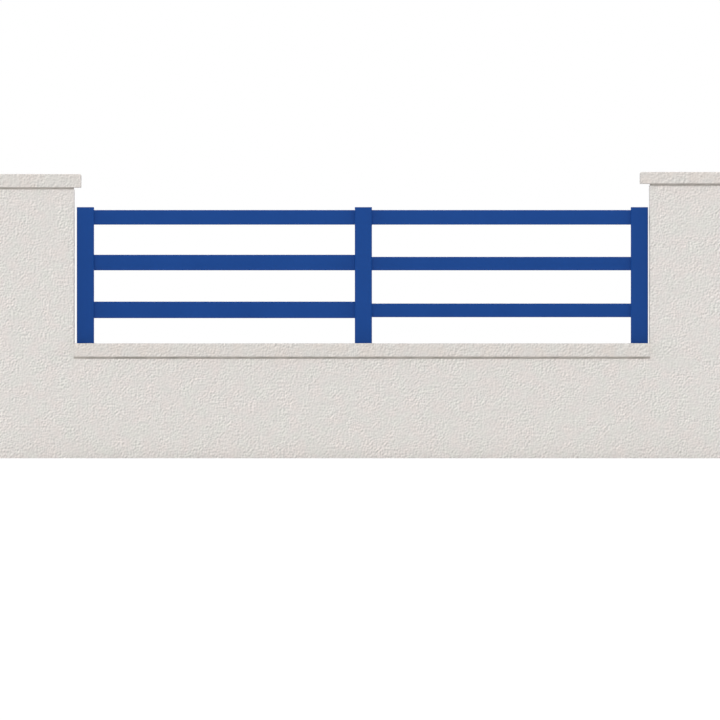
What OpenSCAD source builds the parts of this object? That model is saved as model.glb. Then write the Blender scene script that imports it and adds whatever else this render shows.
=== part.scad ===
// Slatted garden fence: powder-coated aluminium posts and rails, set in the coping of a
// rendered low wall between two rendered pillars with caps.
// Millimetres, +Z up. The origin is on the ground, half way between the pillars, in the
// fence's own plane. +X runs to the right seen from the front, and the front faces -Y.

/* [Fence layout] */
// Clear width of the left bay, from post to post
left_bay_w = 1370; // [900:10:1900]
// Clear width of the right bay, from post to post
right_bay_w = 1360; // [900:10:1900]
// Gap between the left pillar and the left post
left_gap = 15; // [6:1:40]
// Gap between the right post and the right pillar
right_gap = 9; // [6:1:40]

/* [Posts] */
// Side of the square post tube
post_w = 90; // [76:1:110]
// Wall of the post tube
post_wall = 3; // [2:0.5:5]
// Outer corner radius of the post tube
post_r = 5; // [3:0.5:8]
// Depth of the post feet below the top of the coping
post_embed = 190; // [120:5:260]
// Rise of the post caps above the top rails
post_over = 15; // [12:1:40]

/* [Post caps] */
// Thickness of a post cap's plate
cap_plate_t = 5; // [4:0.5:8]
// Radius of the upper arris of a post cap
cap_plate_r = 2; // [1:0.5:3]
// Wall of the skirt that plugs into the post
skirt_wall = 2; // [1.5:0.5:4]

/* [Rails] */
// Thickness of the rails, front to back
rail_t = 40; // [28:1:54]
// Wall of the rail tubes
rail_wall = 2; // [1.5:0.5:4]
// Outer corner radius of the rail tubes
rail_r = 4; // [2.5:0.5:8]
// Reach of a rail end into its post
rail_entry = 25; // [12:1:34]
// Underside of the top rails above the coping
top_rail_rise = 624; // [500:1:700]
// Height of the top rails
top_rail_h = 77; // [50:1:110]
// Underside of the left middle rail above the coping
left_middle_rise = 384; // [290:1:450]
// Height of the left middle rail
left_middle_h = 82; // [50:1:110]
// Underside of the right middle rail above the coping
right_middle_rise = 384; // [290:1:450]
// Height of the right middle rail
right_middle_h = 71; // [50:1:110]
// Underside of the left bottom rail above the coping
left_bottom_rise = 133; // [60:1:200]
// Height of the left bottom rail
left_bottom_h = 87; // [50:1:110]
// Underside of the right bottom rail above the coping
right_bottom_rise = 138; // [60:1:200]
// Height of the right bottom rail
right_bottom_h = 72; // [50:1:110]

/* [Low wall and coping] */
// Height of the low wall up to the mortar bed
wall_h = 523; // [300:1:900]
// Thickness of the low wall with its render
wall_t = 200; // [160:5:300]
// Thickness of the coping
coping_t = 69; // [50:1:100]
// Overhang of the coping beyond each face of the low wall
coping_overhang = 40; // [28:1:60]
// Radius of the coping's upper arrises
coping_r = 6; // [2:1:15]

/* [Pillars and their caps] */
// Width of a pillar
pillar_w = 400; // [300:5:600]
// Depth of a pillar, front to back
pillar_d = 400; // [320:5:600]
// Radius of the pillars' upright arrises
pillar_r = 6; // [2:1:15]
// Rise of the left pillar's shaft above the post caps
left_pillar_over = 93; // [20:1:200]
// Rise of the right pillar's shaft above the post caps
right_pillar_over = 113; // [20:1:200]
// Thickness of the left pillar's cap
left_cap_t = 69; // [45:1:100]
// Thickness of the right pillar's cap
right_cap_t = 60; // [45:1:100]
// Overhang of the left pillar's cap on all sides
left_cap_overhang = 36; // [28:1:70]
// Overhang of the right pillar's cap on all sides
right_cap_overhang = 49; // [28:1:70]
// Radius of the upper and upright arrises of the pillar caps
cap_r = 6; // [2:1:15]

/* [Mortar and drips] */
// Thickness of the mortar beds under the coping and the pillar caps
bed_t = 11; // [6:1:18]
// Depth by which the mortar beds are raked back from the faces below
bed_recess = 3; // [1:1:10]
// Grout between a post and the sides of its pocket
pocket_clear = 15; // [8:1:25]
// Grout under a post foot
pocket_under = 20; // [10:1:40]
// Width of the drip groove under the coping and the pillar caps
drip_w = 8; // [5:1:10]
// Distance of the drip groove from the edge it protects
drip_in = 14; // [8:1:16]

/* [Fits] */
// Gap round a rail in its mortise
mortise_clear = 0.3; // [0.2:0.05:0.8]
// Gap between a cap's skirt and the inside of its post
skirt_clear = 0.3; // [0.2:0.05:0.8]
// Height left between a cap's skirt and the top rails
skirt_over_rail = 2; // [1:0.5:3]

/* [Hidden] */
$fn = 48;
// Reach of a cutting solid past the face that it leaves by
past = 5;
// Smallest inner corner radius that a drawn tube has
least_r = 0.5;

// Heights above the ground
coping_z = wall_h + bed_t;
coping_top = coping_z + coping_t;
post_foot_z = coping_top - post_embed;
fence_top = coping_top + top_rail_rise + top_rail_h + post_over;
post_tube_top = fence_top - cap_plate_t;
skirt_h = post_over - cap_plate_t - skirt_over_rail;
left_pillar_h = fence_top + left_pillar_over;
right_pillar_h = fence_top + right_pillar_over;

// Places along the wall: the faces of the opening, the posts' centres and the bays
opening_w = left_gap + right_gap + 3 * post_w + left_bay_w + right_bay_w;
left_face = -opening_w / 2;
right_face = opening_w / 2;
left_post_x = left_face + left_gap + post_w / 2;
middle_post_x = left_post_x + post_w + left_bay_w;
right_post_x = middle_post_x + post_w + right_bay_w;
left_bay_x = left_post_x + post_w / 2;
right_bay_x = middle_post_x + post_w / 2;

// Rails of each bay from the bottom up, as [underside above the coping, height]
left_rails = [
    [left_bottom_rise, left_bottom_h],
    [left_middle_rise, left_middle_h],
    [top_rail_rise, top_rail_h]
];
right_rails = [
    [right_bottom_rise, right_bottom_h],
    [right_middle_rise, right_middle_h],
    [top_rail_rise, top_rail_h]
];

// The pockets of the end posts run out to the pillars' faces
pocket_half = post_w / 2 + pocket_clear;
left_pocket = [left_face, left_post_x + pocket_half];
middle_pocket = [middle_post_x - pocket_half, middle_post_x + pocket_half];
right_pocket = [right_post_x - pocket_half, right_face];
pocket_foot_z = post_foot_z - pocket_under;

// The fronts of the pillars and of the low wall are flush
pillar_y = pillar_d / 2 - wall_t / 2;
left_pillar_x = left_face - pillar_w / 2;
right_pillar_x = right_face + pillar_w / 2;

render_colour = "#DBD7D2";
coping_colour = "#D9D4CF";
mortar_colour = "#98938F";
powder_blue = "#22498E";

// Rectangle with rounded corners, centred
module rounded_rect(w, h, r) {
    square([w - 2 * r, h], center = true);
    square([w, h - 2 * r], center = true);
    for (x = [r - w / 2, w / 2 - r], y = [r - h / 2, h / 2 - r])
        translate([x, y])
            circle(r);
}

// Section of a drawn rectangular tube, centred
module tube_section(w, h, wall, r) {
    difference() {
        rounded_rect(w, h, r);
        rounded_rect(w - 2 * wall, h - 2 * wall, max(r - wall, least_r));
    }
}

// Section of a slab that stands on its lower edge, with its upper corners rounded
module slab_section(w, t, r) {
    translate([-w / 2, 0])
        square([w, t - r]);
    translate([r - w / 2, 0])
        square([w - 2 * r, t]);
    for (x = [r - w / 2, w / 2 - r])
        translate([x, t - r])
            circle(r);
}

// Turns a section drawn in X and Y into a length along +X, with the section upright
module along_x(length) {
    rotate([90, 0, 90])
        linear_extrude(length)
            children();
}

// Square slab with rounded upper arrises and rounded upright arrises
module slab(w, d, t, edge_r, corner_r) {
    intersection() {
        linear_extrude(t)
            rounded_rect(w, d, corner_r);
        translate([-w / 2, 0, 0])
            along_x(w)
                slab_section(d, t, edge_r);
        translate([0, d / 2, 0])
            rotate([90, 0, 0])
                linear_extrude(d)
                    slab_section(w, t, edge_r);
    }
}

// Block of the pocket round a post foot, between two places along the wall
module pocket_block(span, z0, z1) {
    translate([span[0], -pocket_half, z0])
        cube([span[1] - span[0], 2 * pocket_half, z1 - z0]);
}

// All three pockets as cutters, which pass out through the ends and the top
module pocket_cuts(z0, z1) {
    pocket_block([left_pocket[0] - past, left_pocket[1]], z0, z1);
    pocket_block(middle_pocket, z0, z1);
    pocket_block([right_pocket[0], right_pocket[1] + past], z0, z1);
}

// Rendered masonry wall with blind pockets for the post feet
module low_wall() {
    color(render_colour)
        difference() {
            translate([left_face, -wall_t / 2, 0])
                cube([opening_w, wall_t, wall_h]);
            pocket_cuts(pocket_foot_z, wall_h + past);
        }
}

// Pillar shaft. Against the low wall its front arris is left square, so that the render
// runs on flush. side is +1 where the wall is on the pillar's right, and -1 on its left.
module pillar(x, h, side) {
    color(render_colour)
        union() {
            translate([x, pillar_y, 0])
                linear_extrude(h)
                    rounded_rect(pillar_w, pillar_d, pillar_r);
            translate([x + side * (pillar_w - pillar_r) / 2, (pillar_r - wall_t) / 2, 0])
                linear_extrude(wall_h)
                    square(pillar_r, center = true);
        }
}

module left_pillar() {
    pillar(left_pillar_x, left_pillar_h, 1);
}

module right_pillar() {
    pillar(right_pillar_x, right_pillar_h, -1);
}

// Mortar bed between the low wall and the coping, cut through for the posts
module coping_bed() {
    color(mortar_colour)
        difference() {
            translate([left_face, bed_recess - wall_t / 2, wall_h])
                cube([opening_w, wall_t - 2 * bed_recess, bed_t]);
            pocket_cuts(wall_h - past, coping_z + past);
        }
}

// Coping with rounded upper arrises, a half-round drip groove under each overhang and a
// square hole for each post
module coping() {
    coping_w = wall_t + 2 * coping_overhang;
    groove_y = coping_w / 2 - drip_in - drip_w / 2;
    color(coping_colour)
        difference() {
            translate([left_face, 0, coping_z])
                along_x(opening_w)
                    slab_section(coping_w, coping_t, coping_r);
            for (y = [-groove_y, groove_y])
                translate([left_face - past, y, coping_z])
                    rotate([0, 90, 0])
                        cylinder(h = opening_w + 2 * past, d = drip_w);
            pocket_cuts(coping_z - past, coping_top + past);
        }
}

// Mortar bed on top of a pillar
module cap_bed(x, z) {
    color(mortar_colour)
        translate([x, pillar_y, z])
            linear_extrude(bed_t)
                rounded_rect(pillar_w - 2 * bed_recess, pillar_d - 2 * bed_recess, pillar_r);
}

module left_cap_bed() {
    cap_bed(left_pillar_x, left_pillar_h);
}

module right_cap_bed() {
    cap_bed(right_pillar_x, right_pillar_h);
}

// Pillar cap: a slab with rounded arrises and a drip groove all round its underside
module pillar_cap(x, z, t, overhang) {
    w = pillar_w + 2 * overhang;
    d = pillar_d + 2 * overhang;
    inner = 2 * (drip_in + drip_w);
    color(coping_colour)
        translate([x, pillar_y, z])
            difference() {
                slab(w, d, t, cap_r, cap_r);
                translate([0, 0, -past])
                    linear_extrude(past + drip_w / 2)
                        difference() {
                            square([w - 2 * drip_in, d - 2 * drip_in], center = true);
                            square([w - inner, d - inner], center = true);
                        }
            }
}

module left_cap() {
    pillar_cap(left_pillar_x, left_pillar_h + bed_t, left_cap_t, left_cap_overhang);
}

module right_cap() {
    pillar_cap(right_pillar_x, right_pillar_h + bed_t, right_cap_t, right_cap_overhang);
}

// Cutter for the mortises of one side of a post, one for each rail of that bay. It starts
// in the hollow of the post and leaves by its outer face.
module mortises(x, rails) {
    for (rail = rails)
        translate([x, 0, coping_top + rail[0] + rail[1] / 2])
            along_x(post_wall + 2 * past)
                rounded_rect(
                    rail_t + 2 * mortise_clear, rail[1] + 2 * mortise_clear,
                    rail_r + mortise_clear
                );
}

// Post tube with a mortise for every rail that enters it from the left or the right
module post(x, rails_on_left, rails_on_right) {
    color(powder_blue)
        difference() {
            translate([x, 0, post_foot_z])
                linear_extrude(post_tube_top - post_foot_z)
                    tube_section(post_w, post_w, post_wall, post_r);
            mortises(x - post_w / 2 - past, rails_on_left);
            mortises(x + post_w / 2 - post_wall - past, rails_on_right);
        }
}

module left_post() {
    post(left_post_x, [], left_rails);
}

module middle_post() {
    post(middle_post_x, left_rails, right_rails);
}

module right_post() {
    post(right_post_x, right_rails, []);
}

// Post cap: a plate on the tube's end with a skirt that plugs into the tube
module post_cap(x) {
    skirt_w = post_w - 2 * post_wall - 2 * skirt_clear;
    skirt_r = max(post_r - post_wall, least_r);
    color(powder_blue)
        translate([x, 0, post_tube_top])
            union() {
                slab(post_w, post_w, cap_plate_t, cap_plate_r, post_r);
                translate([0, 0, -skirt_h])
                    linear_extrude(skirt_h)
                        tube_section(skirt_w, skirt_w, skirt_wall, skirt_r);
            }
}

module left_post_cap() {
    post_cap(left_post_x);
}

module middle_post_cap() {
    post_cap(middle_post_x);
}

module right_post_cap() {
    post_cap(right_post_x);
}

// Rail tube across one bay, with both ends inside the posts
module rail(bay_x, bay_w, size) {
    color(powder_blue)
        translate([bay_x - rail_entry, 0, coping_top + size[0] + size[1] / 2])
            along_x(bay_w + 2 * rail_entry)
                tube_section(rail_t, size[1], rail_wall, rail_r);
}

module left_bottom_rail() {
    rail(left_bay_x, left_bay_w, left_rails[0]);
}

module left_middle_rail() {
    rail(left_bay_x, left_bay_w, left_rails[1]);
}

module left_top_rail() {
    rail(left_bay_x, left_bay_w, left_rails[2]);
}

module right_bottom_rail() {
    rail(right_bay_x, right_bay_w, right_rails[0]);
}

module right_middle_rail() {
    rail(right_bay_x, right_bay_w, right_rails[1]);
}

module right_top_rail() {
    rail(right_bay_x, right_bay_w, right_rails[2]);
}

// Grout that fills a pocket round the post foot and carries the foot
module post_grout(x, span) {
    color(mortar_colour)
        difference() {
            pocket_block(span, pocket_foot_z, coping_top);
            translate([x, 0, post_foot_z])
                linear_extrude(post_embed + past)
                    rounded_rect(post_w, post_w, post_r);
        }
}

module left_post_grout() {
    post_grout(left_post_x, left_pocket);
}

module middle_post_grout() {
    post_grout(middle_post_x, middle_pocket);
}

module right_post_grout() {
    post_grout(right_post_x, right_pocket);
}

low_wall();
left_pillar();
right_pillar();
coping_bed();
coping();
left_cap_bed();
right_cap_bed();
left_cap();
right_cap();
left_post();
middle_post();
right_post();
left_post_cap();
middle_post_cap();
right_post_cap();
left_top_rail();
left_middle_rail();
left_bottom_rail();
right_top_rail();
right_middle_rail();
right_bottom_rail();
left_post_grout();
middle_post_grout();
right_post_grout();
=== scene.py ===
"""Looks of the slatted garden fence: rendered masonry, mortar and powder-coated aluminium.

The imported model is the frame. Its posts, post caps, rails, mortar beds and grout stay and get their
finishes. The low wall, the pillars, the coping and the pillar caps get a skin of thrown render that
lies on the solids' own faces. Everything is in metres, with +X to the right seen from the front,
the front facing -Y, and the ground at z = 0.
"""

import logging
import math
from dataclasses import dataclass, field
from enum import Enum
from typing import Callable, Collection, Iterable

import bmesh
import bpy
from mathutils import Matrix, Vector, noise


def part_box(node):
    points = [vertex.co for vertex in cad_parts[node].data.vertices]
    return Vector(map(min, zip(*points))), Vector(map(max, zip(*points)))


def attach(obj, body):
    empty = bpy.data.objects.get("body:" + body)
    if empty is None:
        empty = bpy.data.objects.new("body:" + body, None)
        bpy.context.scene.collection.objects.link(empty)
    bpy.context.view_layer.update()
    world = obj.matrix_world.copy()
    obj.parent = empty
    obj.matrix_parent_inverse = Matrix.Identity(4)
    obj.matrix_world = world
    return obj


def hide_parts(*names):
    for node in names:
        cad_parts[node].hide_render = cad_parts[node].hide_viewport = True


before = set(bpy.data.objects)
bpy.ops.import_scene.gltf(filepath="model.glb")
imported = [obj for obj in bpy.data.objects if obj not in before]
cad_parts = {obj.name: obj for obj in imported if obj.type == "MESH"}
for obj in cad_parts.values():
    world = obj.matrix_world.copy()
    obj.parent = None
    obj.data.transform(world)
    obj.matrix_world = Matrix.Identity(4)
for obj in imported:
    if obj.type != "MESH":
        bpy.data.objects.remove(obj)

log = logging.getLogger("garden_fence")

MM = 0.001
BODY = "root"
POSTS = ("left", "middle", "right")
RELIEF_LAYER = "relief"
# Layer that keeps, at each vertex, the way in which the painted light falls along its face.
PAINTED_LIGHT_LAYER = "painted_light_along"
# The painted light on the render's grains falls down, to the right and to the back over the faces.
# Each grain is painted lighter on the side it comes from and darker, as painted shade, beyond.
PAINTED_LIGHT_WAY = Vector((1, 1, -1))
# Places nearer to each other than this count as the same.
SLACK = 0.01 * MM
# Least share of a unit normal along an axis for a face to look that way, and of an edge's length
# for the edge to run that way.
FACING = 0.9
ALONG = 0.999
# Edges shorter than this many steps are left whole.
UNCUT_STEPS = 1.5
# Edges that turn by more than this are shaded sharp.
SHARP = math.radians(50)
WHITE = "#FFFFFF"
# A dry, porous surface has nearly no sheen.
MATT = {"Roughness": 0.95, "Specular IOR Level": 0.15}
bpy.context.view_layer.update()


class Slot(Enum):
    """Names of the record's material slots."""

    RENDER = "masonry_render"
    COPING = "rendered_coping"
    MORTAR = "bedding_mortar"


class Axis(Enum):
    """Axes of the frame as indices of a vector."""

    X = 0
    Y = 1
    Z = 2


# Indices of the two level axes.
PLAN = (Axis.X.value, Axis.Y.value)


def linear(colour: str) -> tuple[float, float, float, float]:
    """Turns an sRGB hex colour into linear values.

    Args:
        colour: The colour as "#RRGGBB".

    Returns:
        Red, green, blue and alpha, linear.
    """
    channels = (int(colour[place : place + 2], 16) / 255 for place in (1, 3, 5))
    red, green, blue = (
        value / 12.92 if value <= 0.04045 else ((value + 0.055) / 1.055) ** 2.4
        for value in channels
    )
    return red, green, blue, 1.0


def add_node(
    tree: bpy.types.NodeTree, kind: str, inputs: dict | None = None, **settings
) -> bpy.types.Node:
    """Adds a node with its settings, its values and its links.

    Args:
        tree: The tree that the node goes into.
        kind: The node's Blender name.
        inputs: A value, or a socket to link from, for each input by name or number.
        **settings: Properties of the node.

    Returns:
        The new node.
    """
    node = tree.nodes.new(kind)
    for name, value in settings.items():
        setattr(node, name, value)
    for key, value in (inputs or {}).items():
        if isinstance(value, bpy.types.NodeSocket):
            tree.links.new(value, node.inputs[key])
        else:
            node.inputs[key].default_value = value
    return node


def add_ramp(node: bpy.types.Node, stops: Iterable[tuple[float, tuple]]) -> bpy.types.Node:
    """Sets the stops of a colour ramp.

    Args:
        node: The colour ramp node.
        stops: Place from 0 to 1 and linear colour of each stop, in order.

    Returns:
        The same node.
    """
    ramp = node.color_ramp
    for number, (place, colour) in enumerate(stops):
        stop = ramp.elements[number] if number < 2 else ramp.elements.new(place)
        stop.position = place
        stop.color = colour
    return node


def new_material(name: str) -> tuple[bpy.types.Material, bpy.types.NodeTree]:
    """Makes an empty node material.

    Args:
        name: The material's name.

    Returns:
        The material and its cleared node tree.
    """
    material = bpy.data.materials.new(name)
    material.use_nodes = True
    material.node_tree.nodes.clear()
    return material, material.node_tree


@dataclass(frozen=True)
class ThrownRender:
    """Thrown and scraped lime-cement render: matt and off-white, with soft grains 11 mm apart.

    The eye sees small lumps, each with a lit and a shaded side that are bumped and also painted
    into the colour as painted light and shade, and faint pinkish and greenish patches between them.

    Attributes:
        name: Name of the material.
        base: Colour of most of the surface.
        warm: Colour of the pinkish patches.
        cool: Colour of the greenish-grey patches.
        patch_mm: Distance between neighbouring patches.
        patch_span: Noise values at which the cool, the base and the warm colour are reached.
        pit_shade: Brightness of the painted shade in the relief's pits. Its tops are painted as much
        brighter, as painted light.
        pit_depth_mm: Depth and height at which those two are reached.
        grain_mm: Distance between neighbouring grains.
        grain_depth_mm: Depth of the grain that the bump adds to the mesh's own relief.
        painted_light_offset_mm: Distance ahead and behind along the painted light's way at which the
            grain is read for its painted light and shade.
        painted_shading_strength: Strength of the painted light and painted shade on the two sides of
            every grain.
        cluster_mm: Distance between the clusters in which the painted light and shade are strong.
        cluster_span: Noise values between which the painted light and shade rise.
        cluster_gain: Share of the painted light and shade at those two values.
        sand_mm: Distance between the grains of sand in the scraped face. Real sand of 1 to 2 mm
            is too fine to show, so it is drawn this coarse.
        sand_depth_mm: Depth of the sand's bump.
    """

    name: str = "scraped lime render"
    base: str = "#DCD8D4"
    warm: str = "#DED8D4"
    cool: str = "#DBD9D4"
    patch_mm: float = 80.0
    patch_span: tuple[float, float, float] = (0.36, 0.5, 0.64)
    pit_shade: float = 0.962
    pit_depth_mm: float = 1.2
    grain_mm: float = 11.0
    grain_depth_mm: float = 3.0
    painted_light_offset_mm: float = 2.7
    painted_shading_strength: float = 0.59
    cluster_mm: float = 90.0
    cluster_span: tuple[float, float] = (0.35, 0.65)
    cluster_gain: tuple[float, float] = (0.6, 1.4)
    sand_mm: float = 4.0
    sand_depth_mm: float = 0.12

    def material(self) -> bpy.types.Material:
        """Builds the node material.

        Returns:
            The material.
        """
        material, tree = new_material(self.name)
        place = add_node(tree, "ShaderNodeTexCoord").outputs["Object"]
        patches = add_node(
            tree, "ShaderNodeTexNoise",
            {"Vector": place, "Scale": 1 / (self.patch_mm * MM), "Detail": 3.0, "Roughness": 0.55},
        )
        tint = add_ramp(
            add_node(tree, "ShaderNodeValToRGB", {0: patches.outputs["Fac"]}),
            zip(self.patch_span, map(linear, (self.cool, self.base, self.warm))),
        )
        # Painted light and shade: the grain, read a little ahead and behind along the painted light's
        # way, gives every grain a lighter and a darker side in its colour, in patchy clusters.
        reach = self.painted_light_offset_mm * MM
        painted_light_along = add_node(tree, "ShaderNodeAttribute", attribute_name=PAINTED_LIGHT_LAYER)
        grain_ahead, grain_behind = (
            add_node(
                tree, "ShaderNodeTexNoise",
                {
                    "Vector": add_node(
                        tree, "ShaderNodeVectorMath",
                        {0: painted_light_along.outputs["Vector"], 1: (side * reach,) * 3, 2: place},
                        operation="MULTIPLY_ADD",
                    ).outputs[0],
                    "Scale": 1 / (self.grain_mm * MM), "Detail": 0.3,
                },
            ).outputs["Fac"]
            for side in (1, -1)
        )
        cluster = add_node(
            tree, "ShaderNodeTexNoise",
            {"Vector": place, "Scale": 1 / (self.cluster_mm * MM), "Detail": 1.0},
        )
        clustered = add_node(
            tree, "ShaderNodeMapRange",
            {
                0: cluster.outputs["Fac"],
                "From Min": self.cluster_span[0], "From Max": self.cluster_span[1],
                "To Min": self.cluster_gain[0], "To Max": self.cluster_gain[1],
            },
        )
        painted_slope = add_node(tree, "ShaderNodeMath", {0: grain_ahead, 1: grain_behind}, operation="SUBTRACT")
        painted_slope_patchy = add_node(
            tree, "ShaderNodeMath",
            {0: painted_slope.outputs[0], 1: clustered.outputs[0]}, operation="MULTIPLY",
        )
        painted_light_and_shade = add_node(
            tree, "ShaderNodeMath",
            {0: painted_slope_patchy.outputs[0], 1: self.painted_shading_strength, 2: 1.0}, operation="MULTIPLY_ADD",
        )
        # Painted shade in the relief's pits and painted light on its tops, from the mesh's grain
        # height.
        relief = add_node(tree, "ShaderNodeAttribute", attribute_name=RELIEF_LAYER)
        depth = self.pit_depth_mm * MM
        painted_pit_shade = add_node(
            tree, "ShaderNodeMapRange",
            {
                0: relief.outputs["Fac"], "From Min": -depth, "From Max": depth,
                "To Min": self.pit_shade, "To Max": 2 - self.pit_shade,
            },
        )
        shade = add_node(
            tree, "ShaderNodeMath",
            {0: painted_pit_shade.outputs[0], 1: painted_light_and_shade.outputs[0]}, operation="MULTIPLY",
        )
        colour = add_node(
            tree, "ShaderNodeVectorMath",
            {0: tint.outputs["Color"], "Scale": shade.outputs[0]}, operation="SCALE",
        )
        sand = add_node(
            tree, "ShaderNodeTexNoise",
            {"Vector": place, "Scale": 1 / (self.sand_mm * MM), "Detail": 1.0},
        )
        grain_bump = add_node(
            tree, "ShaderNodeBump",
            {"Strength": 1.0, "Distance": self.grain_depth_mm * MM, "Height": grain_ahead},
        )
        sand_bump = add_node(
            tree, "ShaderNodeBump",
            {
                "Strength": 1.0, "Distance": self.sand_depth_mm * MM,
                "Height": sand.outputs["Fac"], "Normal": grain_bump.outputs[0],
            },
        )
        shader = add_node(
            tree, "ShaderNodeBsdfPrincipled",
            {"Base Color": colour.outputs[0], "Normal": sand_bump.outputs[0], **MATT},
        )
        add_node(tree, "ShaderNodeOutputMaterial", {"Surface": shader.outputs[0]})
        return material


@dataclass(frozen=True)
class CementMortar:
    """Grey cement mortar, floated: matt, darker than the render, with fine sand in it.

    Attributes:
        name: Name of the material.
        base: Colour of the dry mortar.
        damp: Colour of its darker patches.
        patch_mm: Distance between neighbouring patches.
        patch_span: Noise values at which the damp and the dry colour are reached.
        sand_mm: Distance between grains of sand. Real sand of 1 to 2 mm is too fine to show, so
            it is drawn this coarse.
        sand_depth_mm: Depth of the sand's bump.
    """

    name: str = "grey cement mortar"
    base: str = "#CBC6C0"
    damp: str = "#BBB6B0"
    patch_mm: float = 60.0
    patch_span: tuple[float, float] = (0.4, 0.6)
    sand_mm: float = 3.0
    sand_depth_mm: float = 0.3

    def material(self) -> bpy.types.Material:
        """Builds the node material.

        Returns:
            The material.
        """
        material, tree = new_material(self.name)
        place = add_node(tree, "ShaderNodeTexCoord").outputs["Object"]
        patches = add_node(
            tree, "ShaderNodeTexNoise",
            {"Vector": place, "Scale": 1 / (self.patch_mm * MM), "Detail": 4.0},
        )
        tint = add_ramp(
            add_node(tree, "ShaderNodeValToRGB", {0: patches.outputs["Fac"]}),
            zip(self.patch_span, map(linear, (self.damp, self.base))),
        )
        sand = add_node(
            tree, "ShaderNodeTexNoise",
            {"Vector": place, "Scale": 1 / (self.sand_mm * MM), "Detail": 2.0},
        )
        bump = add_node(
            tree, "ShaderNodeBump",
            {"Strength": 1.0, "Distance": self.sand_depth_mm * MM, "Height": sand.outputs["Fac"]},
        )
        shader = add_node(
            tree, "ShaderNodeBsdfPrincipled",
            {"Base Color": tint.outputs["Color"], "Normal": bump.outputs[0], **MATT},
        )
        add_node(tree, "ShaderNodeOutputMaterial", {"Surface": shader.outputs[0]})
        return material


@dataclass(frozen=True)
class PowderCoat:
    """Satin polyester powder coat on drawn aluminium: an even blue with a faint orange peel.

    Attributes:
        name: Name of the material.
        base: Colour of the coat.
        faded: Colour of its slightly sun-faded patches.
        patch_mm: Distance between neighbouring patches.
        patch_span: Noise values at which the base and the faded colour are reached.
        peel_mm: Distance between the waves of the orange peel, at the coarse end of the real 1 to
            3 mm so that it shows close up.
        peel_depth_mm: Depth of the orange peel.
    """

    name: str = "blue powder coat"
    base: str = "#0F4188"
    faded: str = "#11438B"
    patch_mm: float = 240.0
    patch_span: tuple[float, float] = (0.35, 0.65)
    peel_mm: float = 3.0
    peel_depth_mm: float = 0.02

    def material(self) -> bpy.types.Material:
        """Builds the node material.

        Returns:
            The material.
        """
        material, tree = new_material(self.name)
        place = add_node(tree, "ShaderNodeTexCoord").outputs["Object"]
        patches = add_node(
            tree, "ShaderNodeTexNoise",
            {"Vector": place, "Scale": 1 / (self.patch_mm * MM), "Detail": 2.0},
        )
        tint = add_ramp(
            add_node(tree, "ShaderNodeValToRGB", {0: patches.outputs["Fac"]}),
            zip(self.patch_span, map(linear, (self.base, self.faded))),
        )
        peel = add_node(
            tree, "ShaderNodeTexNoise",
            {"Vector": place, "Scale": 1 / (self.peel_mm * MM), "Detail": 0.0},
        )
        bump = add_node(
            tree, "ShaderNodeBump",
            {"Strength": 1.0, "Distance": self.peel_depth_mm * MM, "Height": peel.outputs["Fac"]},
        )
        shader = add_node(
            tree, "ShaderNodeBsdfPrincipled",
            {
                "Base Color": tint.outputs["Color"], "Roughness": 0.45, "Specular IOR Level": 0.08,
                "Normal": bump.outputs[0],
            },
        )
        add_node(tree, "ShaderNodeOutputMaterial", {"Surface": shader.outputs[0]})
        return material


@dataclass(frozen=True)
class Relief:
    """Height of the thrown render above its mean plane, the same function all over the masonry.

    Attributes:
        grain_mm: Distance between neighbouring grains.
        grain_height_mm: Height of the grain where it is strongest.
        cluster_mm: Distance between the clusters in which the grain is strong.
        cluster_mean: Mean share of that height.
        cluster_swing: Rise and fall of the share between the clusters.
        wave_mm: Length of the hand-thrown waves.
        wave_height_mm: Height of the waves.
    """

    grain_mm: float = 13.0
    grain_height_mm: float = 3.0
    cluster_mm: float = 90.0
    cluster_mean: float = 0.65
    cluster_swing: float = 0.5
    wave_mm: float = 260.0
    wave_height_mm: float = 0.5

    def grain(self, place: Vector) -> float:
        """Gives the height of the grain alone at a point.

        Args:
            place: The point, in metres.

        Returns:
            The height in metres, up or down.
        """
        swing = self.cluster_swing * noise.noise(place / (self.cluster_mm * MM))
        height = (self.cluster_mean + swing) * self.grain_height_mm * MM
        return noise.noise(place / (self.grain_mm * MM)) * height

    def wave(self, place: Vector) -> float:
        """Gives the height of the slow waves at a point.

        Args:
            place: The point, in metres.

        Returns:
            The height in metres, up or down.
        """
        return noise.noise(place / (self.wave_mm * MM)) * self.wave_height_mm * MM


def runs_along(edge: bmesh.types.BMEdge, axis: Axis, longer_than: float) -> bool:
    """Tells whether an edge runs along an axis.

    Args:
        edge: The edge.
        axis: The axis.
        longer_than: Shortest length that counts.

    Returns:
        True if it does and is long enough.
    """
    run = edge.verts[1].co - edge.verts[0].co
    return run.length > longer_than and abs(run[axis.value]) > ALONG * run.length


def cut_along(
    bm: bmesh.types.BMesh, axis: Axis, step: float, spared: Collection[bmesh.types.BMEdge] = ()
) -> None:
    """Cuts the edges that run along an axis into equal steps.

    Args:
        bm: The mesh.
        axis: The axis.
        step: Wanted length of a step.
        spared: Edges that stay whole.
    """
    edges = [
        edge for edge in bm.edges
        if edge not in spared and runs_along(edge, axis, UNCUT_STEPS * step)
    ]
    if edges:
        cuts = round(max(edge.calc_length() for edge in edges) / step) - 1
        bmesh.ops.subdivide_edges(bm, edges=edges, cuts=cuts)


def block(lo: Vector, hi: Vector) -> bmesh.types.BMesh:
    """Starts a mesh as the plain block between two corners.

    Args:
        lo: Lowest corner.
        hi: Highest corner.

    Returns:
        The mesh, with six faces.
    """
    bm = bmesh.new()
    bm.verts.layers.float.new(RELIEF_LAYER)
    bm.verts.layers.float_vector.new(PAINTED_LIGHT_LAYER)
    bmesh.ops.create_cube(bm, size=1.0)
    bmesh.ops.scale(bm, vec=hi - lo, verts=bm.verts)
    bmesh.ops.translate(bm, vec=(lo + hi) / 2, verts=bm.verts)
    return bm


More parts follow.
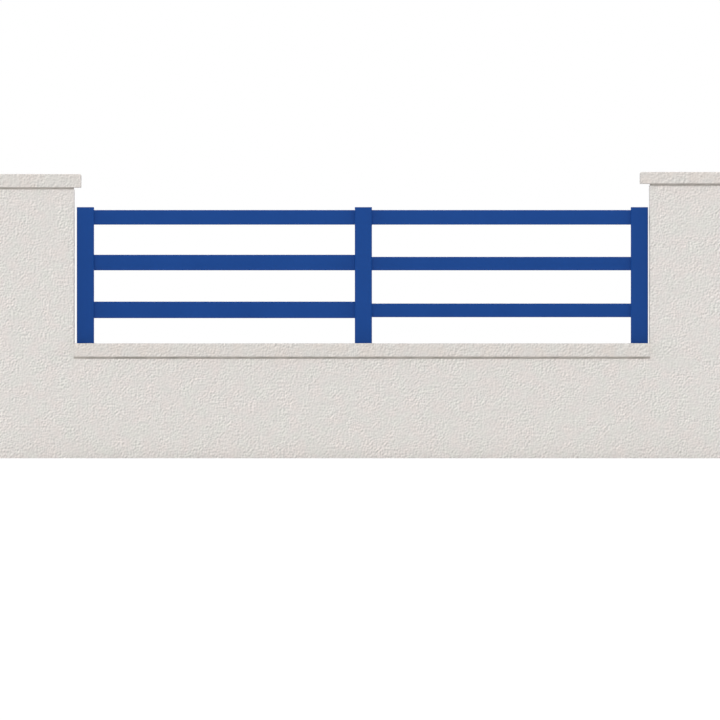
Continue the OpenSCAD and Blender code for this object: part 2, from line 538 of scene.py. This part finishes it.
def round_edges(
    bm: bmesh.types.BMesh, edges: list[bmesh.types.BMEdge], radius: float, segments: int
) -> None:
    """Rounds edges of a mesh.

    Args:
        bm: The mesh.
        edges: The edges.
        radius: Radius of the rounding.
        segments: Faces across it.
    """
    bmesh.ops.bevel(
        bm, geom=edges, offset=radius, offset_type="OFFSET", affect="EDGES",
        segments=segments, profile=0.5, material=-1,
    )


def open_ends(bm: bmesh.types.BMesh, axis: Axis) -> None:
    """Deletes the faces at both ends of a mesh along an axis.

    Args:
        bm: The mesh.
        axis: The axis.
    """
    bm.normal_update()
    ends = [face for face in bm.faces if abs(face.normal[axis.value]) > FACING]
    bmesh.ops.delete(bm, geom=ends, context="FACES")


def close_ends(bm: bmesh.types.BMesh) -> None:
    """Closes the open ends of a mesh with one face each.

    Args:
        bm: The mesh.
    """
    rims = [edge for edge in bm.edges if edge.is_boundary]
    bmesh.ops.holes_fill(bm, edges=rims, sides=0)
    bmesh.ops.recalc_face_normals(bm, faces=bm.faces)


def underside(bm: bmesh.types.BMesh) -> list[bmesh.types.BMFace]:
    """Gives the faces that look down."""
    bm.normal_update()
    return [face for face in bm.faces if face.normal.z < -FACING]


def grow_rim(
    bm: bmesh.types.BMesh, rim: list[bmesh.types.BMEdge]
) -> tuple[list[bmesh.types.BMEdge], set[bmesh.types.BMVert]]:
    """Extrudes a ring of faces from a rim.

    Args:
        bm: The mesh.
        rim: Edges of the rim.

    Returns:
        Edges and vertices of the new rim, which still lie on the old one.
    """
    grown = bmesh.ops.extrude_edge_only(bm, edges=rim)["geom"]
    edges = [item for item in grown if isinstance(item, bmesh.types.BMEdge)]
    return edges, {vert for edge in edges for vert in edge.verts}


def finish_piece(
    bm: bmesh.types.BMesh, name: str, nodes: tuple[str, ...],
    material: bpy.types.Material,
) -> None:
    """Turns a mesh into a smooth-shaded piece of the fence.

    Args:
        bm: The mesh, which is freed.
        name: Name of the piece.
        nodes: CAD nodes that it stands for, which may be none.
        material: Its finish.
    """
    mesh = bpy.data.meshes.new(name)
    for face in bm.faces:
        # The face that closes an end has many corners and stays flat.
        face.smooth = len(face.verts) <= 4
    for edge in bm.edges:
        edge.smooth = edge.calc_face_angle(0.0) < SHARP
    bm.to_mesh(mesh)
    bm.free()
    mesh.materials.append(material)
    piece = bpy.data.objects.new(name, mesh)
    bpy.context.scene.collection.objects.link(piece)
    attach(piece, BODY)
    if nodes:
        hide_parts(*nodes)
    triangles = sum(len(face.vertices) - 2 for face in mesh.polygons)
    log.info("%s: %d triangles", name, triangles)


def dress(node: str, material: bpy.types.Material) -> None:
    """Gives a CAD node its finish.

    Args:
        node: Name of the node.
        material: The finish.
    """
    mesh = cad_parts[node].data
    mesh.materials.clear()
    mesh.materials.append(material)
    log.info("%s: CAD node, %s", node, material.name)


def throw_relief(
    bm: bmesh.types.BMesh, relief: Relief, level: Callable[[Vector], Vector | None]
) -> None:
    """Moves every vertex along its normal by the height of the render there.

    Each vertex also keeps that height and the way in which the painted light falls along its face,
    for the finish.

    Args:
        bm: The mesh, with its plain ends still open.
        relief: The render's relief.
        level: Gives a fixed normal for a point where two pieces run on flush, or None.
    """
    bm.normal_update()
    layer = bm.verts.layers.float[RELIEF_LAYER]
    painted_light_along = bm.verts.layers.float_vector[PAINTED_LIGHT_LAYER]
    moves = []
    for vert in bm.verts:
        normal = level(vert.co) or vert.normal.copy()
        vert[layer] = relief.grain(vert.co)
        # The way in which the painted light falls along the face, for the finish's painted light and
        # shade.
        vert[painted_light_along] = (PAINTED_LIGHT_WAY - PAINTED_LIGHT_WAY.dot(normal) * normal).normalized()
        moves.append(normal * (vert[layer] + relief.wave(vert.co)))
    for vert, move in zip(bm.verts, moves):
        vert.co += move


@dataclass
class Masonry:
    """The low wall and the two pillars under one coat of thrown render.

    Attributes:
        relief: The relief of the render.
        coat: Its finish.
        step: Size of the skin's quads.
        arris: Radius of the pillars' upright arrises.
        arris_segments: Faces round an arris.
        front: Plane of the fronts, which the low wall and the pillars share.
    """

    relief: Relief = field(default_factory=Relief)
    coat: ThrownRender = field(default_factory=ThrownRender)
    step: float = 6.0 * MM
    arris: float = 4.0 * MM
    arris_segments: int = 3
    front: float = field(default_factory=lambda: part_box("low_wall")[0].y)

    def build(self) -> None:
        """Builds the skins of the low wall and of both pillars."""
        material = self.coat.material()
        self.wall_skin(material)
        for name, side in (("left_pillar", 1), ("right_pillar", -1)):
            self.pillar_skin(name, side, material)

    def flush_normal(self, place: Vector) -> Vector | None:
        """Gives the front's own normal for a point on the front's plane."""
        on_front = abs(place.y - self.front) < SLACK
        return Vector((0, -1, 0)) if on_front else None

    def upright_skin(self, lo: Vector, hi: Vector, arris: float) -> bmesh.types.BMesh:
        """Makes the four upright sides of a block as a fine grid, open at both ends.

        Args:
            lo: Lowest corner.
            hi: Highest corner.
            arris: Radius of the upright arrises, or 0.

        Returns:
            The mesh.
        """
        bm = block(lo, hi)
        if arris:
            upright = [edge for edge in bm.edges if runs_along(edge, Axis.Z, self.step)]
            round_edges(bm, upright, arris, self.arris_segments)
        open_ends(bm, Axis.Z)
        for axis in Axis:
            cut_along(bm, axis, self.step)
        return bm

    def wall_skin(self, material: bpy.types.Material) -> None:
        """Builds the low wall's skin.

        Args:
            material: Its finish.
        """
        bm = self.upright_skin(*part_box("low_wall"), arris=0.0)
        throw_relief(bm, self.relief, self.flush_normal)
        close_ends(bm)
        finish_piece(bm, "low_wall_render", ("low_wall",), material)

    def pillar_skin(self, node: str, side: int, material: bpy.types.Material) -> None:
        """Builds a pillar's skin, with its front arris left square where the wall runs on flush.

        Args:
            node: CAD node of the pillar.
            side: +1 if the low wall is on the pillar's right, -1 if on its left.
            material: Its finish.
        """
        lo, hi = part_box(node)
        bm = self.upright_skin(lo, hi, self.arris)
        flush_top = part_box("coping")[1].z
        inner = hi.x if side > 0 else lo.x
        centre = Vector((inner - side * self.arris, lo.y + self.arris))
        # Below the coping's top the arris is rolled out flat onto the front.
        for vert in bm.verts:
            run = (vert.co.x - centre.x) * side
            in_arris = run > -SLACK and vert.co.y < centre.y + SLACK
            if in_arris and vert.co.z < flush_top:
                turn = math.atan2(run, centre.y - vert.co.y) / (math.pi / 2)
                vert.co.x = centre.x + side * self.arris * turn
                vert.co.y = lo.y
        throw_relief(bm, self.relief, self.flush_normal)
        close_ends(bm)
        finish_piece(bm, f"{node}_render", (node,), material)


@dataclass
class Slabs:
    """The coping and the pillar caps under the same render, a little darker.

    Attributes:
        relief: The relief of the render, floated finer here so that rain runs off.
        coat: Its finish.
        step: Size of the skin's quads.
        arris: Radius of the upper arrises and of the caps' corners.
        arris_segments: Faces round an arris.
        drip_in: Distance of the drip groove from the edge.
        drip_w: Width of the drip groove.
        drip_h: Height of the drip groove.
        rubbed: Width of the ring round a post's grout where the render's tops are rubbed flush.
    """

    relief: Relief = field(default_factory=lambda: Relief(grain_height_mm=1.8))
    coat: ThrownRender = field(
        default_factory=lambda: ThrownRender(
            name="scraped render on copings",
            # The grains' painted light and shade are weaker on the slabs than on the walls.
            base="#D8D3CE", warm="#D9D2CC", cool="#D7D4CF", painted_shading_strength=0.5,
        )
    )
    step: float = 6.0 * MM
    arris: float = 6.0 * MM
    arris_segments: int = 3
    drip_in: float = 14.0 * MM
    drip_w: float = 8.0 * MM
    drip_h: float = 4.0 * MM
    rubbed: float = 12.0 * MM

    def build(self) -> None:
        """Builds the skins of the coping and of both caps."""
        material = self.coat.material()
        self.coping_skin(material)
        for node in ("left_cap", "right_cap"):
            self.cap_skin(node, material)

    def drip_groove(self, bm: bmesh.types.BMesh, centre: Vector, half: Vector) -> None:
        """Closes the underside from its open rim inwards, with a drip groove in it.

        Args:
            bm: The mesh, open at the bottom.
            centre: Middle of the underside.
            half: Half the slab's width and depth.
        """
        rim = [edge for edge in bm.edges if edge.is_boundary]
        outer, inner = self.drip_in, self.drip_in + self.drip_w
        steps = ((outer, 0.0), (outer, self.drip_h), (inner, self.drip_h), (inner, 0.0))
        was = 0.0
        for inset, height in steps:
            rim, verts = grow_rim(bm, rim)
            for vert in verts:
                for axis in PLAN:
                    shrink = (half[axis] - inset) / (half[axis] - was)
                    vert.co[axis] = centre[axis] + (vert.co[axis] - centre[axis]) * shrink
                vert.co.z = centre.z + height
            was = inset
        close_ends(bm)

    def cap_skin(self, node: str, material: bpy.types.Material) -> None:
        """Builds a pillar cap's skin.

        Args:
            node: CAD node of the cap.
            material: Its finish.
        """
        lo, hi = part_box(node)
        bm = block(lo, hi)
        kept = {edge for face in underside(bm) for edge in face.edges}
        rounded = [edge for edge in bm.edges if edge not in kept]
        round_edges(bm, rounded, self.arris, self.arris_segments)
        bmesh.ops.delete(bm, geom=underside(bm), context="FACES")
        for axis in Axis:
            cut_along(bm, axis, self.step)
        rim = [vert for vert in bm.verts if vert.co.z < lo.z + SLACK]
        throw_relief(bm, self.relief, lambda place: None)
        # The lower rim stays level, so that the underside closes flat.
        for vert in rim:
            vert.co.z = lo.z
        middle = Vector(((lo.x + hi.x) / 2, (lo.y + hi.y) / 2, lo.z))
        self.drip_groove(bm, middle, (hi - lo) / 2)
        finish_piece(bm, f"{node}_render", (node,), material)

    def coping_skin(self, material: bpy.types.Material) -> None:
        """Builds the coping's skin, with rounded upper arrises and a drip groove on each side.

        Args:
            material: Its finish.
        """
        lo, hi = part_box("coping")
        bm = block(lo, hi)
        upper = [
            edge for edge in bm.edges
            if runs_along(edge, Axis.X, self.step) and edge.verts[0].co.z > hi.z - self.step
        ]
        round_edges(bm, upper, self.arris, self.arris_segments)
        for y, inward in ((lo.y, 1), (hi.y, -1)):
            self.cut_drip(bm, y, inward, lo.z)
        open_ends(bm, Axis.X)
        # The underside and its grooves are cut along X only, as they hardly show.
        groove_top = lo.z + self.drip_h + SLACK
        hidden = {edge for edge in bm.edges if max(vert.co.z for vert in edge.verts) < groove_top}
        for axis in (Axis.Y, Axis.Z):
            cut_along(bm, axis, self.step, hidden)
        cut_along(bm, Axis.X, self.step)
        # The ends stay flat against the pillars.
        ends = {vert: vert.co.x for vert in bm.verts if vert.is_boundary}
        throw_relief(bm, self.relief, lambda place: None)
        for vert, x in ends.items():
            vert.co.x = x
        self.rub_flush(bm, hi.z)
        close_ends(bm)
        finish_piece(bm, "coping_render", ("coping",), material)

    def rub_flush(self, bm: bmesh.types.BMesh, top: float) -> None:
        """Rubs the render down round every post, where the mason floats the mortar flush.

        Args:
            bm: The coping's skin.
            top: Height of the coping's mean top face.
        """
        for place in POSTS:
            lo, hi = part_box(f"{place}_post_grout")
            for vert in bm.verts:
                off = max(
                    max(lo[axis] - vert.co[axis], vert.co[axis] - hi[axis]) for axis in PLAN
                )
                if off < self.rubbed:
                    vert.co.z = min(vert.co.z, top)

    def cut_drip(self, bm: bmesh.types.BMesh, edge_y: float, inward: int, bottom: float) -> None:
        """Cuts a drip groove along the coping's underside.

        Args:
            bm: The mesh of the whole coping.
            edge_y: Place of the edge that the groove protects.
            inward: Direction in Y from that edge to the wall.
            bottom: Height of the underside.
        """
        places = [edge_y + inward * inset for inset in (self.drip_in, self.drip_in + self.drip_w)]
        for y in places:
            geometry = bm.verts[:] + bm.edges[:] + bm.faces[:]
            bmesh.ops.bisect_plane(bm, geom=geometry, plane_co=(0, y, 0), plane_no=(0, 1, 0))
        strips = [
            face for face in underside(bm)
            if min(places) < face.calc_center_median().y < max(places)
            and abs(face.calc_center_median().z - bottom) < SLACK
        ]
        raised = bmesh.ops.extrude_face_region(bm, geom=strips)["geom"]
        verts = [item for item in raised if isinstance(item, bmesh.types.BMVert)]
        bmesh.ops.translate(bm, vec=(0, 0, self.drip_h), verts=verts)
        bmesh.ops.delete(bm, geom=[face for face in strips if face.is_valid], context="FACES_ONLY")


@dataclass
class Mortar:
    """Mortar beds and post grout, and the trowelled collar round each post foot.

    Attributes:
        coat: The mortar's finish.
        step: Distance between the collar's vertices along its rim.
        depth: Depth to which the collar reaches into the grout.
        rim_rise: Height of the collar's outer edge above the coping.
        post_rise: Height of the collar against the post.
        sweep: Power of the curve by which it rises towards the post.
        rings: Rings of faces across the collar.
        ripple: Height of the trowel's ripples.
        ripple_length: Distance between the ripples.
    """

    coat: CementMortar = field(default_factory=CementMortar)
    step: float = 5.0 * MM
    depth: float = 6.0 * MM
    rim_rise: float = 0.4 * MM
    post_rise: float = 1.5 * MM
    sweep: float = 1.5
    rings: int = 4
    ripple: float = 0.4 * MM
    ripple_length: float = 14.0 * MM

    def build(self) -> None:
        """Dresses the CAD beds and grout, and lays a collar round every post."""
        material = self.coat.material()
        for node in ("coping_bed", "left_cap_bed", "right_cap_bed"):
            dress(node, material)
        for place in POSTS:
            dress(f"{place}_post_grout", material)
            self.collar(place, material)

    def collar(self, place: str, material: bpy.types.Material) -> None:
        """Lays the collar round one post.

        Args:
            place: left, middle or right.
            material: Its finish.
        """
        lo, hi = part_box(f"{place}_post_grout")
        post_lo, post_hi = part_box(f"{place}_post")
        top, bottom = hi.z, hi.z - self.depth
        bm = block(Vector((lo.x, lo.y, bottom)), Vector((hi.x, hi.y, top + self.rim_rise)))
        open_ends(bm, Axis.Z)
        for axis in (Axis.X, Axis.Y):
            cut_along(bm, axis, self.step)
        rim = [edge for edge in bm.edges if edge.is_boundary and edge.verts[0].co.z > top]
        was_lo, was_hi = lo, hi
        for ring in range(1, self.rings + 1):
            share = ring / self.rings
            new_lo, new_hi = lo.lerp(post_lo, share), hi.lerp(post_hi, share)
            rise = self.rim_rise + (self.post_rise - self.rim_rise) * share**self.sweep
            rim, verts = grow_rim(bm, rim)
            for vert in verts:
                for axis in PLAN:
                    part = (vert.co[axis] - was_lo[axis]) / (was_hi[axis] - was_lo[axis])
                    vert.co[axis] = new_lo[axis] + part * (new_hi[axis] - new_lo[axis])
                ripple = self.ripple * noise.noise(vert.co / self.ripple_length)
                vert.co.z = top + rise + ripple
            was_lo, was_hi = new_lo, new_hi
        for vert in grow_rim(bm, rim)[1]:
            vert.co.z = bottom
        rims = [edge for edge in bm.edges if edge.is_boundary]
        bmesh.ops.bridge_loops(bm, edges=rims)
        bmesh.ops.recalc_face_normals(bm, faces=bm.faces)
        finish_piece(bm, f"{place}_post_collar", (), material)


@dataclass
class BlueFence:
    """Posts, post caps and rails, which keep their CAD meshes.

    Attributes:
        coat: The powder coat.
    """

    coat: PowderCoat = field(default_factory=PowderCoat)

    def build(self) -> None:
        """Dresses every aluminium node."""
        material = self.coat.material()
        for place in POSTS:
            dress(f"{place}_post", material)
            dress(f"{place}_post_cap", material)
        for bay in ("left", "right"):
            for level in ("top", "middle", "bottom"):
                dress(f"{bay}_{level}_rail", material)


@dataclass(frozen=True)
class Lamp:
    """A distant soft lamp.

    Attributes:
        name: Name of the lamp.
        azimuth: Degrees round from straight in front, positive to the right.
        elevation: Degrees above the horizon.
        strength: Light on a face that it meets squarely.
        spread: Apparent width of the lamp in degrees.
    """

    name: str
    azimuth: float
    elevation: float
    strength: float
    spread: float

    def build(self) -> None:
        """Adds the lamp to the scene."""
        data = bpy.data.lights.new(self.name, "SUN")
        data.energy = self.strength
        data.angle = math.radians(self.spread)
        turn, tilt = math.radians(self.azimuth), math.radians(self.elevation)
        towards = Vector(
            (math.sin(turn) * math.cos(tilt), -math.cos(turn) * math.cos(tilt), math.sin(tilt))
        )
        lamp = bpy.data.objects.new(self.name, data)
        lamp.rotation_euler = towards.to_track_quat("Z", "Y").to_euler()
        bpy.context.scene.collection.objects.link(lamp)


# The front is lit nearly squarely. The side lamps reach the faces beside the opening and the
# arrises, and light the front only at a graze.
LAMPS = (
    Lamp("key", azimuth=-4.0, elevation=17.0, strength=0.85, spread=6.0),
    Lamp("front_fill", azimuth=6.0, elevation=5.0, strength=0.35, spread=20.0),
    Lamp("left_side", azimuth=-84.0, elevation=10.0, strength=1.0, spread=40.0),
    Lamp("right_side", azimuth=84.0, elevation=10.0, strength=1.0, spread=40.0),
    Lamp("top", azimuth=180.0, elevation=88.0, strength=1.25, spread=20.0),
    Lamp("back_fill", azimuth=185.0, elevation=20.0, strength=0.95, spread=25.0),
)


@dataclass
class Studio:
    """White floor and surroundings, soft lamps, and the camera of a level elevation view.

    Attributes:
        picture_px: Side of the square picture in pixels.
        mm_per_px: Real size of a pixel on the fronts of the pillars.
        opening_px: Pixel across the picture of the middle of the opening.
        ground_px: Pixel down the picture of the ground line.
        distance: Distance of the camera from the fronts, long enough to flatten the view.
        clip_distances: How many times that distance the camera sees.
        sensor_mm: Width of the camera's sensor.
        floor_half: Half the side of the floor.
        floor_paint: Colour of the floor as a lit surface.
        floor_glow: Share of plain white in what the camera sees of the floor.
        floor_white: Strength of that white, which makes up for the paint being less than white.
        sky_light: Strength of the surroundings as a light.
        lamps: The lamps.
    """

    picture_px: float = 720.0
    mm_per_px: float = 5.25
    opening_px: float = 361.85
    ground_px: float = 458.3
    distance: float = 160.0
    clip_distances: float = 4.0
    sensor_mm: float = 36.0
    floor_half: float = 180.0
    floor_paint: str = "#EBEBEB"
    floor_glow: float = 0.7
    floor_white: float = 1.12
    sky_light: float = 0.34
    lamps: tuple[Lamp, ...] = LAMPS

    def build(self) -> None:
        """Sets up the view transform, camera, floor, surroundings and lamps."""
        bpy.context.scene.view_settings.view_transform = "Standard"
        self.camera()
        self.floor()
        self.surroundings()
        for lamp in self.lamps:
            lamp.build()

    def camera(self) -> None:
        """Places the camera level, square to the fronts, at the picture's framing."""
        data = bpy.data.cameras.new("camera")
        data.sensor_width = self.sensor_mm
        width = self.picture_px * self.mm_per_px * MM
        data.lens = self.sensor_mm * self.distance / width
        data.clip_end = self.clip_distances * self.distance
        middle = self.picture_px / 2
        camera = bpy.data.objects.new("camera", data)
        camera.location = (
            (middle - self.opening_px) * self.mm_per_px * MM,
            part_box("low_wall")[0].y - self.distance,
            (self.ground_px - middle) * self.mm_per_px * MM,
        )
        camera.rotation_euler = (math.pi / 2, 0, 0)
        bpy.context.scene.collection.objects.link(camera)
        bpy.context.scene.camera = camera

    def floor(self) -> None:
        """Lays the floor, white to the camera except where the object shades it."""
        bm = bmesh.new()
        bmesh.ops.create_grid(bm, x_segments=1, y_segments=1, size=self.floor_half)
        mesh = bpy.data.meshes.new("floor")
        bm.to_mesh(mesh)
        bm.free()
        material, tree = new_material("white studio floor")
        paint = add_node(tree, "ShaderNodeBsdfDiffuse", {"Color": linear(self.floor_paint)})
        white = add_node(
            tree, "ShaderNodeEmission", {"Color": linear(WHITE), "Strength": self.floor_white}
        )
        rays = add_node(tree, "ShaderNodeLightPath")
        share = add_node(
            tree, "ShaderNodeMath",
            {0: rays.outputs["Is Camera Ray"], 1: self.floor_glow}, operation="MULTIPLY",
        )
        mix = add_node(
            tree, "ShaderNodeMixShader",
            {0: share.outputs[0], 1: paint.outputs[0], 2: white.outputs[0]},
        )
        add_node(tree, "ShaderNodeOutputMaterial", {"Surface": mix.outputs[0]})
        mesh.materials.append(material)
        floor = bpy.data.objects.new("floor", mesh)
        bpy.context.scene.collection.objects.link(floor)

    def surroundings(self) -> None:
        """Makes the world white to the camera and in reflections, and a plain light otherwise."""
        world = bpy.data.worlds.new("surroundings")
        world.use_nodes = True
        bpy.context.scene.world = world
        tree = world.node_tree
        tree.nodes.clear()
        light, white = (
            add_node(tree, "ShaderNodeBackground", {"Color": linear(WHITE), "Strength": strength})
            for strength in (self.sky_light, 1.0)
        )
        rays = add_node(tree, "ShaderNodeLightPath").outputs
        seen = rays["Is Camera Ray"]
        for ray in ("Is Glossy Ray", "Is Transmission Ray"):
            either = add_node(tree, "ShaderNodeMath", {0: seen, 1: rays[ray]}, operation="MAXIMUM")
            seen = either.outputs[0]
        mix = add_node(
            tree, "ShaderNodeMixShader", {0: seen, 1: light.outputs[0], 2: white.outputs[0]}
        )
        add_node(tree, "ShaderNodeOutputWorld", {"Surface": mix.outputs[0]})


def main() -> None:
    """Builds every sub-assembly in order."""
    logging.basicConfig(level=logging.INFO, format="%(name)s %(message)s")
    Studio().build()
    Masonry().build()
    Slabs().build()
    Mortar().build()
    BlueFence().build()


if __name__ == "__main__":
    main()
